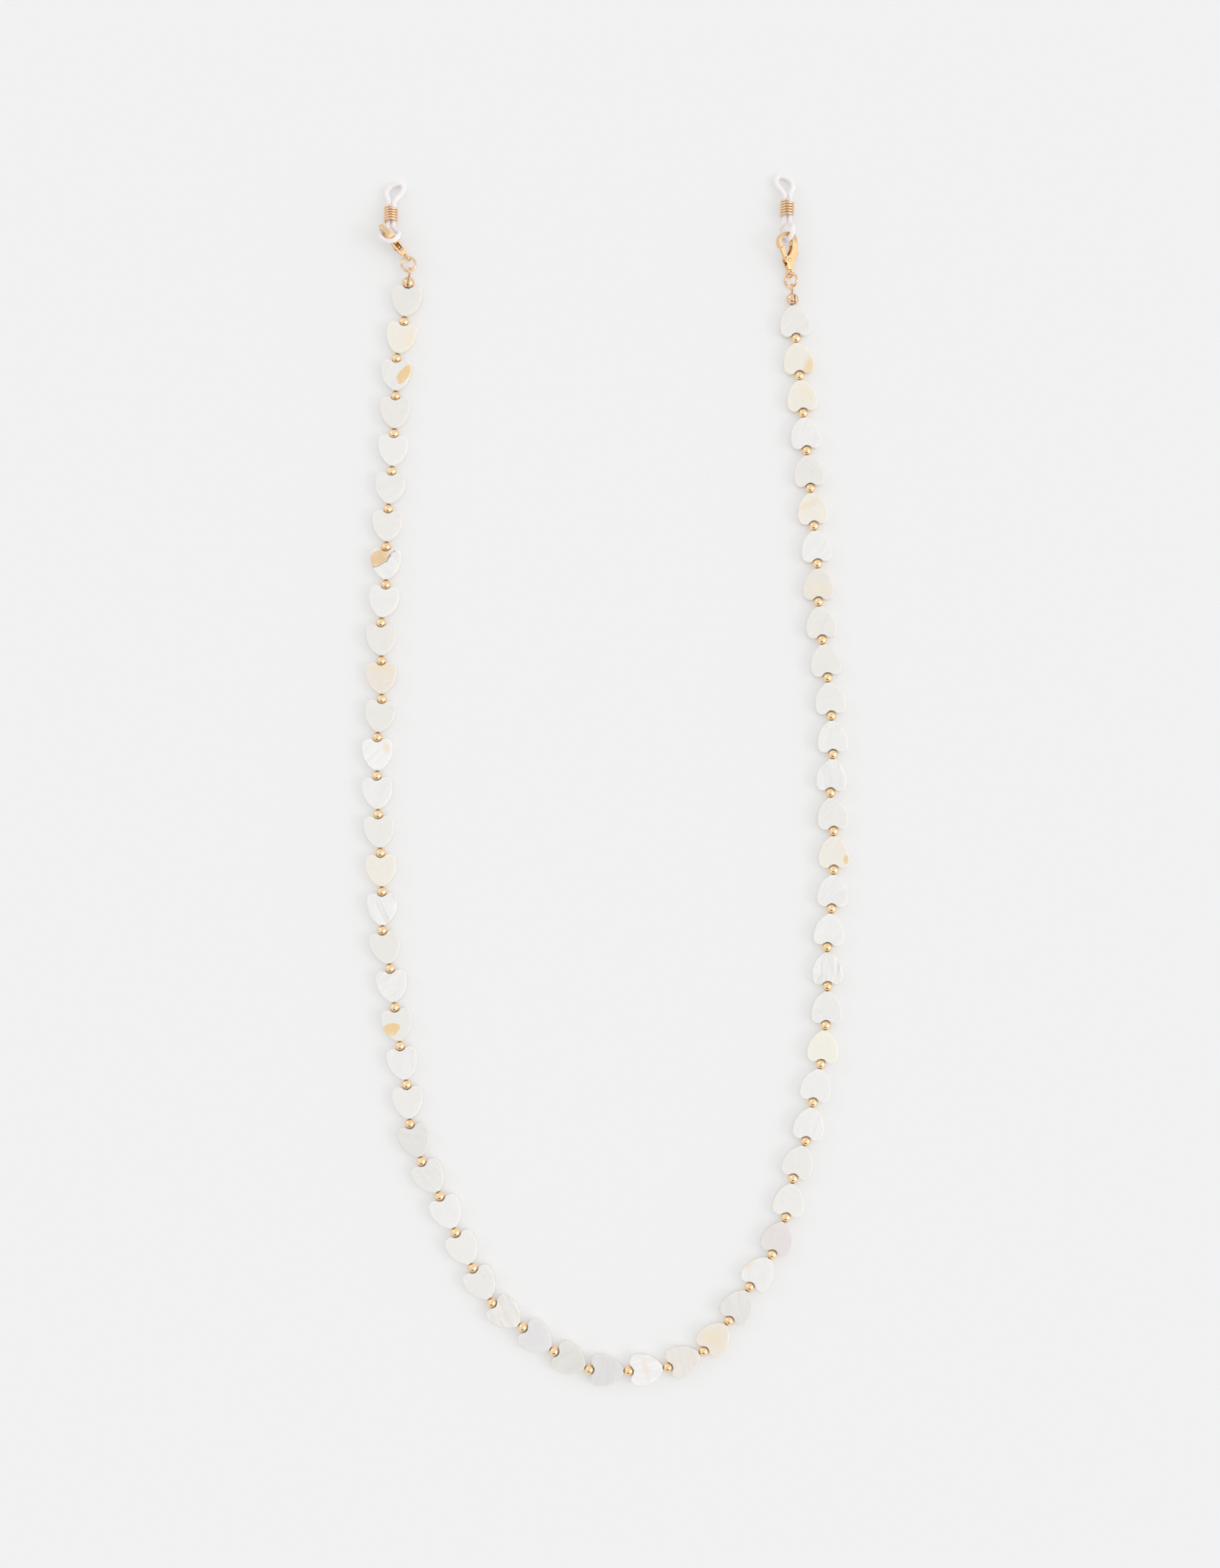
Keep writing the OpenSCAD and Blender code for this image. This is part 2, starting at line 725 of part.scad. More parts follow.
// Least space between one turn of the coil and the next, measured on the points of its skin
turn_gap = min([for (i = [0:coil_steps - coil_rings])
    for (j = [max(0, i + coil_rings - 1):min(coil_steps, i + coil_rings + 1)])
        for (p = coil_skin[i]) for (q = coil_skin[j]) norm(q - p)]);
echo(coil_turn_gap = turn_gap);

module slide_coil(s) {
    color(gold_color)
        on_coil(s)
            skin(coil_skin);
}

for (run = runs) {
    hearts(run);
    balls(run);
    cord(run);
}
for (s = [LEFT, RIGHT]) {
    bead_tip(s);
    crimp(s);
    jump_ring(s);
    clasp_body(s);
    clasp_lever(s);
    clasp_rivet(s);
    clasp_spring(s);
    temple_loop(s);
    slide_coil(s);
}
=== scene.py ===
import json
import math

import bmesh
import bpy
from mathutils import Matrix, Vector

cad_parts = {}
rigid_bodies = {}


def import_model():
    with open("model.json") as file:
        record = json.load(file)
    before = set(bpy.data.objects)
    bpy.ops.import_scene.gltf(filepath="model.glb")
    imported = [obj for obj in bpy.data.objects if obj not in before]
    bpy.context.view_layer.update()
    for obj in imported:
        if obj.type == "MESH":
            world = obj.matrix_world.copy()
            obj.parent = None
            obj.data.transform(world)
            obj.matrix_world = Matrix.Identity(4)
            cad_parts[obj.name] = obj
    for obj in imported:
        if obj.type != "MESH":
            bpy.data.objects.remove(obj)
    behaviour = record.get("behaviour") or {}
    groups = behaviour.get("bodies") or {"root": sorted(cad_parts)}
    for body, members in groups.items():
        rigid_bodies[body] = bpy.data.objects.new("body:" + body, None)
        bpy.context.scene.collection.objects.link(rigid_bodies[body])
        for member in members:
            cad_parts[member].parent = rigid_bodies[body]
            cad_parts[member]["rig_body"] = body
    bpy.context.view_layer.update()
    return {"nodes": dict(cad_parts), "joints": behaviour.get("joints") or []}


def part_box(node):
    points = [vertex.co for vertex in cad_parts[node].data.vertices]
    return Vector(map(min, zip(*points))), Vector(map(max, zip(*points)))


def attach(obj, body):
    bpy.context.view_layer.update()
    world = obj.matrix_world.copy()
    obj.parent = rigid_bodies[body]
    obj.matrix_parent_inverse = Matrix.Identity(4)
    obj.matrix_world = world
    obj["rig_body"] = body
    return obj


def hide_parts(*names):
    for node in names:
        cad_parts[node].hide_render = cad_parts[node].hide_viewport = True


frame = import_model()
scene = bpy.context.scene

MM = 0.001
UP = Vector((0, 0, 1))

# Vertices closer than MERGE become one, in a CAD node's copy those closer than CAD_MERGE; places
# closer than NEAR count as the same
MERGE = 0.002 * MM
CAD_MERGE = 0.004 * MM
NEAR = 0.01 * MM

# Share of an even glow in what is seen of the floor, which pales the shadows on it
FLOOR_GLOW = 0.4

# Heart beads: the tip and the bottom of the cleft are flat over HEART_TIP and HEART_FLAT, and each
# heart is rolled a little, up to HEART_ROLL degrees
HEART_LENGTH = 9.95 * MM
HEART_WIDTH = 9.3 * MM
HEART_THICK = 2.8 * MM
HEART_SIDE_R = 8.2 * MM
HEART_TIP = 1.6 * MM
HEART_FLAT = 0.8 * MM
HEART_HOLE = 0.54 * MM
CLEFT_DEPTH = 1.2 * MM
HEART_ROUND = 0.3 * MM
HEART_ROLL = 2
ROLL_STEP = 137.5
HEART_COUNT = 61

# Spacer balls: each lies in the cleft of a heart, which is a cradle round it
BALL = 3.2 * MM
BALL_BORE = 0.7 * MM
BALL_ROUND = 0.07 * MM
BEAD_GAP = 0.08 * MM
CRADLE_GAP = 0.03 * MM
SEAT = BALL / 2 + BEAD_GAP
CRADLE_R = BALL / 2 + CRADLE_GAP
PITCH = HEART_LENGTH - CLEFT_DEPTH + 2 * SEAT

# Cord: a run's cord reaches BALL_REACH past the middle of its outer ball
CORD = 0.5 * MM
CORD_INSET = 0.1 * MM
BALL_REACH = 0.75 * BALL / 2
CRIMP_LENGTH = 1.4 * MM

# Bead tips: a hook is two prongs side by side, which leave the shell a little closer together, rise
# and curl from HOOK_START through HOOK_SWEEP degrees
TIP_R = 1.95 * MM
TIP_WALL = 0.35 * MM
TIP_HOLE_R = 0.88 * MM
TIP_SEAM = 0.34 * MM
SEAM_AT = {"left": 0.0, "right": -0.35 * TIP_R}
NECK_LENGTH = 0.45 * MM
NECK_PINCH = 0.6
NECK_RISE = 0.1 * MM
NECK_BEND = 0.15 * MM
HOOK_R = 1.25 * MM
HOOK_AT = TIP_R + NECK_LENGTH + HOOK_R
HOOK_START = 165
HOOK_SWEEP = 276
HOOK_STEPS = 23
PRONG = 0.36 * MM
PRONG_AT = 0.22 * MM

# Jump rings, with a saw cut RING_CUT degrees wide
RING = 4.4 * MM
RING_WIRE = 0.8 * MM
RING_CUT = 5
RING_STEPS = 72
RING_ROLL = {"left": 0, "right": -36}

# Silicone loops, each with two legs side by side in a coil, and an eye, given by its length and width,
# at either end; the small eye is rolled and lifted to the clasp's hook, and the large eye leans to a
# side, droops to the floor and has a tube that is thicker by the share EYE_SWELL
TUBE_R = 0.75 * MM
LEG_GAP = 0.05 * MM
LEG_AT = TUBE_R + LEG_GAP
LEG_STEPS = 40
LARGE_EYE = (8.9 * MM, 6.5 * MM)
SMALL_EYE = (8.8 * MM, 7.4 * MM)
EYE_STEPS = 28
EYE_FLOOR_GAP = 0.16 * MM
EYE_SWELL = 0.13
SMALL_EYE_ROLL = {"left": -5, "right": -52}
SMALL_EYE_LIFT = {"left": 3.75 * MM}
LARGE_EYE_LEAN = {"left": -2.3 * MM, "right": 2.1 * MM}

# Coils, wound tight; the eyes are measured from COIL_END, and the legs run straight for COIL_TRAVEL
# beyond it, so that the coil can slide
COIL_OUT = 2.25 * MM
COIL_LENGTH = 4.75 * MM
COIL_END_GAP = 0.275 * MM
COIL_END = COIL_LENGTH / 2 + COIL_END_GAP
COIL_TRAVEL = 1.2 * MM
WOUND_TURNS = 5.5
WOUND_WIRE = 0.78 * MM
TURN_STEPS = 32

# Clasps and crimps: size of the facets of a casting before it is tumbled, passes of tumbling, and how
# far the edges of the small parts are rounded
CAST_GRAIN = 0.06 * MM
TUMBLING = {"clasp_body": 26, "clasp_lever": 12}
ROUNDED_EDGES = {"clasp_rivet": 0.08 * MM, "clasp_spring": 0.02 * MM, "crimp": 0.08 * MM}

# How the strand lies: a heart, and the direction in degrees in which the strand runs through it from the
# left end to the right end
LAY = [
    (1, -96), (2, -101), (3, -91), (5, -93), (6, -95), (8, -90), (9, -97), (10, -89), (11, -89),
    (12, -96), (13, -90), (15, -86), (17, -89), (18, -78), (19, -83), (21, -80), (22, -85),
    (23, -72), (24, -62), (25, -66), (27, -61), (28, -38), (29, -37), (30, -27), (31, -2),
    (32, 5), (33, 24), (34, 50), (35, 58), (36, 55), (37, 69), (38, 79), (39, 71), (40, 79),
    (41, 78), (43, 87), (44, 90), (45, 83), (47, 90), (48, 94), (49, 86), (50, 92), (52, 98),
    (53, 95), (54, 91), (55, 95), (61, 95),
]

# Runs of the strand: name, first and last heart, first and last ball
RUNS = [
    ("center", 29, 33, 28, 33),
    ("left_1", 24, 28, 23, 27), ("left_2", 19, 23, 18, 22), ("left_3", 14, 18, 13, 17),
    ("left_4", 9, 13, 8, 12), ("left_5", 5, 8, 4, 7), ("left_6", 1, 4, 1, 3),
    ("right_1", 34, 38, 34, 38), ("right_2", 39, 43, 39, 43), ("right_3", 44, 48, 44, 48),
    ("right_4", 49, 53, 49, 53), ("right_5", 54, 57, 54, 57), ("right_6", 58, 61, 58, 60),
]

# Shell tints, as they look under a plain white light
PEARL = (0.845, 0.825, 0.785)
WHITE = (0.885, 0.88, 0.865)
BRIGHT = (0.96, 0.955, 0.945)
CREAM = (0.895, 0.85, 0.765)
BUTTER = (0.905, 0.885, 0.79)
SAND = (0.87, 0.80, 0.705)
SMOKE = (0.735, 0.725, 0.72)
MIST = (0.79, 0.77, 0.75)
LILAC = (0.795, 0.785, 0.788)
ROSE = (0.80, 0.757, 0.745)
OLIVE = (0.745, 0.73, 0.68)
BEIGE = (0.825, 0.79, 0.725)
PEACH = (0.90, 0.78, 0.61)
BLUSH = (0.90, 0.80, 0.74)
HONEY = (0.91, 0.83, 0.68)
AMBER = (0.88, 0.64, 0.33)
RUST = (0.80, 0.57, 0.32)

# Plain hearts are tinted between pearl and white, with faint lines and painted sheen; the steps from
# heart to heart scatter their lines and tints, and the places in the shell that all hearts are cut from
FAINTEST_LINES = 0.15
LINES_SPREAD = 0.5
LINES_STEP = 0.618
TINT_STEP = 0.7549
CUT_STEP = (31 * MM, 17 * MM)

# Hearts that stand out from the rest: tint, how strongly their growth lines and painted sheen show, and
# which way the lines run, in degrees from the heart's length
SPECIAL_SHELLS = {
    1: (PEARL, 0.1, 0), 2: (CREAM, 0.2, 30), 8: (WHITE, 0.6, 40), 10: (PEARL, 0.2, 0),
    11: (SAND, 0.3, 90), 13: (BRIGHT, 0.9, -45), 14: (WHITE, 0.6, -50), 16: (CREAM, 0.2, 0),
    17: (WHITE, 1.7, 25), 18: (PEARL, 0.2, 0), 19: (WHITE, 0.8, -50), 23: (MIST, 0.4, 60),
    24: (PEARL, 0.7, 20), 28: (BEIGE, 1.4, -25), 29: (LILAC, 0.3, 45), 30: (OLIVE, 0.8, 60),
    31: (SMOKE, 0.6, 80), 32: (BRIGHT, 1.1, 5), 33: (BEIGE, 0.7, 80), 34: (SAND, 0.3, 0),
    35: (MIST, 0.6, 40), 36: (WHITE, 0.4, 30), 37: (ROSE, 0.3, 0), 40: (WHITE, 0.6, -15),
    42: (BUTTER, 0.1, 0), 44: (WHITE, 1.8, -5), 46: (WHITE, 0.9, -40), 47: (CREAM, 0.4, -35),
    49: (WHITE, 1.2, 14), 54: (BEIGE, 0.6, 90), 55: (WHITE, 0.5, -50), 56: (CREAM, 0.3, 70),
    59: (CREAM, 0.2, 0), 60: (CREAM, 0.2, 0),
}

# Coloured patches: tint, place along and across from the heart's middle and reach along and across,
# all in heart lengths, turn in degrees, and how crisp the patch is
PATCHES = {
    2: (HONEY, 0.0, 0.25, 0.50, 0.34, 0, 0.0), 3: (AMBER, -0.06, 0.29, 0.36, 0.18, -38, 1.0),
    8: (RUST, -0.22, -0.18, 0.26, 0.46, 34, 1.0), 11: (PEACH, -0.30, -0.05, 0.14, 0.50, 0, 0.3),
    13: (PEACH, -0.20, 0.30, 0.30, 0.16, 0, 0.0), 20: (AMBER, 0.13, -0.22, 0.20, 0.33, 14, 1.0),
    32: (BLUSH, -0.02, 0.0, 0.13, 0.7, 8, 0.1), 34: (PEACH, -0.06, 0.05, 0.34, 0.46, 0, 0.1),
    36: (PEACH, 0.2, 0.42, 0.44, 0.14, 0, 0.3), 47: (AMBER, -0.25, -0.38, 0.16, 0.10, 0, 0.8),
    54: (HONEY, -0.16, 0.0, 0.24, 0.7, 0, 0.2), 56: (SAND, 0.16, 0.05, 0.14, 0.6, 20, 0.4),
    59: (HONEY, 0.12, -0.2, 0.40, 0.34, 0, 0.0), 60: (AMBER, -0.26, -0.36, 0.46, 0.28, -10, 0.0),
}
NO_PATCH = (PEARL, 20.0, 20.0, 0.3, 0.3, 0, 0.0)

# Heart whose patch ends in a dark growth line
LINED_HEART = 8


def heading(heart):
    """Direction of the strand through a heart, in degrees."""
    if heart <= LAY[0][0]:
        return LAY[0][1]
    for (before, a), (after, b) in zip(LAY, LAY[1:]):
        if heart <= after:
            return a + (b - a) * (heart - before) / (after - before)
    return LAY[-1][1]


def along(degrees):
    return Vector((math.cos(math.radians(degrees)), math.sin(math.radians(degrees)), 0))


def bore_heading(ball):
    """Direction of a ball's hole, midway between those of the hearts beside it."""
    return (heading(ball) + heading(ball + 1)) / 2


def joint(name):
    return next(j for j in frame["joints"] if j["name"] == name)


def joint_place(name):
    return Vector(joint(name)["pos_m"])


def joint_axis(name):
    return Vector(joint(name)["axis"]).normalized()


def tip_place(side):
    return joint_place(side + "_tip_tilt")


def ball_spots():
    """Centres of the balls, set on the ball that the first bend of the left arm turns about."""
    spots = [Vector((0, 0, 0))]
    for heart in range(1, HEART_COUNT + 1):
        spots.append(spots[-1] + PITCH * along(heading(heart)))
    bend_ball = RUNS[0][3]
    shift = joint_place("left_bend_1") - spots[bend_ball]
    return [spot + shift for spot in spots]


SPOTS = ball_spots()


def axes(place, x, y):
    """Matrix of a frame at a place, from its x and y directions."""
    z = x.cross(y)
    return Matrix.Translation(place) @ Matrix((x, y, z)).transposed().to_4x4()


def turn(degrees, axis):
    return Matrix.Rotation(math.radians(degrees), 4, axis)


# Shader helpers


def node(tree, kind, inputs=None, **settings):
    """A node with its settings, and with its sockets set to values or linked to other sockets."""
    made = tree.nodes.new("ShaderNode" + kind)
    for name, value in settings.items():
        setattr(made, name, value)
    for name, value in (inputs or {}).items():
        if isinstance(value, bpy.types.NodeSocket):
            tree.links.new(value, made.inputs[name])
        else:
            made.inputs[name].default_value = value
    return made


def mixed(tree, factor, a, b, mode="MIX"):
    """Colour a turned into colour b by a factor."""
    rgba = [(*c, 1) if isinstance(c, tuple) else c for c in (a, b)]
    inputs = {0: factor, 6: rgba[0], 7: rgba[1]}
    return node(tree, "Mix", inputs, data_type="RGBA", blend_type=mode).outputs[2]


def maths(tree, operation, a, b=0.0):
    return node(tree, "Math", {0: a, 1: b}, operation=operation).outputs[0]


def ranged(tree, value, low, high, to_low=0.0, to_high=1.0):
    """A value carried smoothly from one range to another."""
    inputs = {"Value": value, "From Min": low, "From Max": high, "To Min": to_low, "To Max": to_high}
    return node(tree, "MapRange", inputs, interpolation_type="SMOOTHSTEP").outputs["Result"]


def attribute(tree, name, output="Vector"):
    return node(tree, "Attribute", attribute_name=name).outputs[output]


def noise(tree, vector, scale, detail, output="Fac"):
    """Noise with as many cells in a metre as scale says."""
    return node(tree, "TexNoise", {"Vector": vector, "Scale": scale, "Detail": detail}).outputs[output]


def new_group(name, inputs, outputs):
    """A shader node group with its named sockets, and its input and output nodes."""
    group = bpy.data.node_groups.new(name, "ShaderNodeTree")
    for socket, kind, value in inputs:
        made = group.interface.new_socket(socket, in_out="INPUT", socket_type="NodeSocket" + kind)
        if value is not None:
            made.default_value = value
    for socket, kind in outputs:
        group.interface.new_socket(socket, in_out="OUTPUT", socket_type="NodeSocket" + kind)
    return group, group.nodes.new("NodeGroupInput"), group.nodes.new("NodeGroupOutput")


def handled_polish():
    """Smudges and hairline scratches of a polished piece that is handled a lot."""
    group, given, made = new_group(
        "handled_polish",
        [("Vector", "Vector", None), ("Low", "Float", 0.1), ("High", "Float", 0.25)],
        [("Roughness", "Float"), ("Scratches", "Float")],
    )
    smudges = noise(group, given.outputs["Vector"], 420, 4)
    stretched = node(group, "Mapping", {"Vector": given.outputs["Vector"], "Scale": (1, 14, 3)})
    lines = noise(group, stretched.outputs["Vector"], 900, 3)
    dulled = maths(group, "MULTIPLY", smudges, 0.75)
    worn = maths(group, "ADD", dulled, maths(group, "MULTIPLY", lines, 0.25))
    rough = node(group, "MapRange", {
        "Value": worn, "From Min": 0.3, "From Max": 0.7,
        "To Min": given.outputs["Low"], "To Max": given.outputs["High"],
    })
    group.links.new(rough.outputs["Result"], made.inputs["Roughness"])
    group.links.new(lines, made.inputs["Scratches"])
    return group


POLISH = handled_polish()


def new_material(name):
    material = bpy.data.materials.new(name)
    material.use_nodes = True
    return material, material.node_tree, material.node_tree.nodes["Principled BSDF"]


def settle(tree, shader, links, **values):
    """Links a shader's sockets, and sets its constant ones."""
    for name, socket in links.items():
        tree.links.new(socket, shader.inputs[name])
    for name, value in values.items():
        shader.inputs[name.replace("_", " ")].default_value = value


def polished(tree, vector, low, high):
    """Outputs of the handled polish, with roughness from low to high."""
    inputs = {"Vector": vector, "Low": low, "High": high}
    return node(tree, "Group", inputs, node_tree=POLISH).outputs


def bumped(tree, height, strength, distance):
    inputs = {"Height": height, "Strength": strength, "Distance": distance}
    return node(tree, "Bump", inputs).outputs["Normal"]


# Materials


def nacre_material():
    """Mother-of-pearl: growth lines with painted sheen, a play of pale tints, coloured patches and a
    warm rim of painted shade.
    """
    material, tree, shader = new_material("mother_of_pearl")
    grain = attribute(tree, "shell_grain")
    # Strength of the growth lines and of the painted sheen in their light streaks
    lines_and_sheen_on = attribute(tree, "growth_lines_and_sheen", "Fac")
    flow = node(tree, "Mapping", {"Vector": grain, "Scale": (1.0, 0.09, 1.0)}).outputs["Vector"]
    fine = noise(tree, flow, 3300, 3)
    broad = noise(tree, flow, 700, 2)
    play = noise(tree, grain, 190, 1, "Color")
    cloud = noise(tree, grain, 260, 3)

    color = attribute(tree, "shell_tint", "Color")
    tinted = mixed(tree, 0.07, color, play, "OVERLAY")
    # Growth lines as stripes and bands between a darker and a lighter tint; the lighter streaks are
    # painted sheen
    stripes = ranged(tree, fine, 0.35, 0.65)
    bands = ranged(tree, broad, 0.35, 0.65)
    stripe_tints = mixed(tree, stripes, (0.74, 0.72, 0.69), (0.97, 0.965, 0.955))
    band_tints = mixed(tree, bands, (0.77, 0.745, 0.72), (0.96, 0.955, 0.95))
    striped = mixed(tree, maths(tree, "MULTIPLY", lines_and_sheen_on, 0.30), tinted, stripe_tints)
    banded = mixed(tree, maths(tree, "MULTIPLY", lines_and_sheen_on, 0.22), striped, band_tints)

    crisp = attribute(tree, "patch_tint", "Alpha")
    place = attribute(tree, "patch_place")
    patch = node(tree, "VectorMath", {0: place}, operation="LENGTH").outputs["Value"]
    wander = maths(tree, "SUBTRACT", noise(tree, grain, 330, 3), 0.5)
    ragged = maths(tree, "ADD", patch, maths(tree, "MULTIPLY", wander, 1.1))
    soft_inside = ranged(tree, ragged, 1.1, 0.1, 0.0, 0.7)
    crisp_inside = ranged(tree, ragged, 1.0, 0.86, 0.0, 0.95)
    inside = node(tree, "Mix", {0: crisp, 2: soft_inside, 3: crisp_inside}).outputs[0]
    mottling = ranged(tree, cloud, 0.45, 0.85)
    mottled = mixed(tree, mottling, attribute(tree, "patch_tint", "Color"), (0.91, 0.77, 0.55))
    patched = mixed(tree, inside, banded, mottled)
    off_edge = maths(tree, "ABSOLUTE", maths(tree, "SUBTRACT", ragged, 1.0))
    beyond = node(tree, "SeparateXYZ", {0: place}).outputs["X"]
    edge = maths(tree, "MULTIPLY", ranged(tree, off_edge, 0.08, 0.02), ranged(tree, beyond, 0.2, 0.6))
    dark = maths(tree, "MULTIPLY", edge, attribute(tree, "dark_line", "Fac"))
    lined = mixed(tree, dark, patched, (0.36, 0.28, 0.22))

    # Painted shade: a warm tan laid over the bevels and walls that the rim attribute marks, where the
    # edges fall into shade
    rim_shade = ranged(tree, cloud, 0.3, 0.7, 0.2, 0.55)
    rim = maths(tree, "MULTIPLY", attribute(tree, "rim", "Fac"), rim_shade)
    rim_shaded = mixed(tree, rim, lined, (0.87, 0.76, 0.62))

    rough = polished(tree, grain, 0.24, 0.42)["Roughness"]
    ridges = maths(tree, "MULTIPLY", fine, lines_and_sheen_on)
    relief = maths(tree, "ADD", ridges, maths(tree, "MULTIPLY", cloud, 0.6))
    settle(
        tree, shader,
        {"Base Color": rim_shaded, "Roughness": rough, "Normal": bumped(tree, relief, 0.25, 0.05 * MM)},
        IOR=1.53, Coat_Weight=0.25, Coat_Roughness=0.12, Subsurface_Weight=0.5,
        Subsurface_Radius=(0.9, 0.75, 0.6), Subsurface_Scale=0.8 * MM,
    )
    return material


def gold_material(name, color, warm, low, high):
    """Polished gold plating that drifts between two golds, with handling marks."""
    material, tree, shader = new_material(name)
    place = node(tree, "TexCoord").outputs["Object"]
    drift = ranged(tree, noise(tree, place, 160, 2), 0.35, 0.65)
    marks = polished(tree, place, low, high)
    settle(
        tree, shader,
        {
            "Base Color": mixed(tree, drift, color, warm),
            "Roughness": marks["Roughness"],
            "Normal": bumped(tree, marks["Scratches"], 0.06, 0.02 * MM),
        },
        Metallic=1.0,
    )
    return material


def silicone_material():
    """Milky silicone that lets some light through, a little cloudy inside."""
    material, tree, shader = new_material("milky_silicone")
    place = node(tree, "TexCoord").outputs["Object"]
    cloud = noise(tree, place, 260, 1)
    color = mixed(tree, ranged(tree, cloud, 0.3, 0.7), (0.885, 0.84, 0.84), (0.925, 0.895, 0.89))
    marks = polished(tree, place, 0.20, 0.32)
    settle(
        tree, shader,
        {"Base Color": color, "Roughness": marks["Roughness"]},
        IOR=1.41, Subsurface_Weight=0.4, Subsurface_Radius=(1.0, 1.0, 1.0), Subsurface_Scale=0.6 * MM,
    )
    return material


def cord_material():
    """White nylon cord, laid from fine strands that wind round it."""
    material, tree, shader = new_material("nylon_cord")
    place = node(tree, "TexCoord").outputs["UV"]
    lay = node(tree, "Mapping", {"Vector": place, "Rotation": (0, 0, 0.6), "Scale": (40, 6, 1)})
    wave = {"Vector": lay.outputs["Vector"], "Scale": 2.0, "Distortion": 0.4}
    strands = node(tree, "TexWave", wave).outputs["Fac"]
    color = mixed(tree, strands, (0.80, 0.785, 0.75), (0.93, 0.92, 0.90))
    settle(
        tree, shader,
        {"Base Color": color, "Normal": bumped(tree, strands, 0.4, 0.04 * MM)},
        Roughness=0.6, Sheen_Weight=0.2,
    )
    return material


NACRE = nacre_material()
BALL_GOLD = gold_material("ball_gold", (0.98, 0.71, 0.42), (1.0, 0.76, 0.48), 0.05, 0.12)
WIRE_GOLD = gold_material("wire_gold", (0.88, 0.61, 0.39), (0.92, 0.67, 0.45), 0.08, 0.16)
CAST_GOLD = gold_material("cast_gold", (0.82, 0.55, 0.29), (0.86, 0.60, 0.35), 0.07, 0.14)
SILICONE = silicone_material()
NYLON = cord_material()


# Mesh helpers


def placed(name, data):
    """A new object in the scene, for a mesh, a curve, a lamp or a camera."""
    made = bpy.data.objects.new(name, data)
    scene.collection.objects.link(made)
    return made


def dress(piece, node_name, material):
    """Gives a piece its finish, and puts it in the place of the CAD node that it stands for."""
    piece.data.materials.clear()
    piece.data.materials.append(material)
    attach(piece, frame["nodes"][node_name]["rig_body"])
    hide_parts(node_name)


def blank_mesh(name, bm):
    mesh = bpy.data.meshes.new(name)
    bm.to_mesh(mesh)
    bm.free()
    return mesh


def mesh_piece(name, bm, flat_faces=True):
    """A finished mesh in the scene, shaded smooth, with its flat faces kept flat or not."""
    mesh = blank_mesh(name, bm)
    for face in mesh.polygons:
        face.use_smooth = True
    piece = placed(name, mesh)
    if flat_faces:
        weighted = piece.modifiers.new("flat_faces", "WEIGHTED_NORMAL")
        weighted.keep_sharp = True
    return piece


def outward(bm):
    """Merges doubles and turns every face outwards."""
    bmesh.ops.remove_doubles(bm, verts=bm.verts, dist=MERGE)
    bmesh.ops.recalc_face_normals(bm, faces=bm.faces)


def arc(bm, vert, centre, degrees, steps):
    """Draws an arc from a vertex round a centre in the plane, and gives its last vertex."""
    made = bmesh.ops.spin(
        bm, geom=[vert], cent=centre, axis=UP, angle=math.radians(degrees), steps=steps)
    return next(v for v in made["geom_last"] if isinstance(v, bmesh.types.BMVert))


def spun(bm, axis, degrees, steps, rise=Vector((0, 0, 0))):
    """Spins all edges of a mesh round an axis through the origin; a full turn closes on itself."""
    closes = degrees == 360 and rise.length == 0
    bmesh.ops.spin(
        bm, geom=bm.verts[:] + bm.edges[:], cent=(0, 0, 0), axis=axis, dvec=rise / steps,
        angle=math.radians(degrees), steps=steps, use_merge=closes)


def joined(bm, blank, matrix):
    """Adds a copy of a mesh, placed by a matrix, and gives its new vertices."""
    count = len(bm.verts)
    bm.from_mesh(blank)
    bm.verts.ensure_lookup_table()
    verts = bm.verts[count:]
    bmesh.ops.transform(bm, matrix=matrix, verts=verts)
    return verts


def angle_of(v):
    return math.degrees(math.atan2(v.y, v.x))


# Hearts, balls and cord


def heart_outline():
    """Centres of a heart's lobe, which meets the ball's cradle, and of its side; corner of its tip."""
    back = SEAT - CLEFT_DEPTH
    total = HEART_WIDTH + 2 * (CRADLE_R - back)
    lobe_r = (total - math.sqrt(total**2 - HEART_WIDTH**2 - 4 * (back**2 - CRADLE_R**2))) / 2
    lobe = Vector((back + lobe_r, HEART_WIDTH / 2 - lobe_r, 0))
    corner = Vector((PITCH - CRADLE_R, HEART_TIP / 2, 0))
    inner = HEART_SIDE_R - lobe_r
    gap = corner - lobe
    way = gap.normalized()
    reach = (gap.length_squared + inner**2 - HEART_SIDE_R**2) / (2 * gap.length)
    side = lobe + reach * way + math.sqrt(inner**2 - reach**2) * Vector((way.y, -way.x, 0))
    return lobe, side, corner


def wall_at(bm, x):
    """The flat face of a heart that is square to the strand at x."""
    flat = [f for f in bm.faces if all(abs(v.co.x - x) < NEAR for v in f.verts)]
    return max(flat, key=lambda f: f.calc_area())


def drill(bm, cleft_x, tip_x):
    """Opens the cleft and the tip of a heart to the hole that runs between them."""
    rings = []
    for x in (cleft_x, tip_x):
        wall = wall_at(bm, x)
        border = wall.edges[:]
        bmesh.ops.delete(bm, geom=[wall], context="FACES_ONLY")
        place = Matrix.Translation((x, 0, 0)) @ turn(90, "Y")
        circle = bmesh.ops.create_circle(bm, radius=HEART_HOLE / 2, segments=16, matrix=place)
        ring = list({e for v in circle["verts"] for e in v.link_edges})
        bmesh.ops.triangle_fill(bm, edges=border + ring, use_beauty=True)
        rings += ring
    bmesh.ops.bridge_loops(bm, edges=rings)


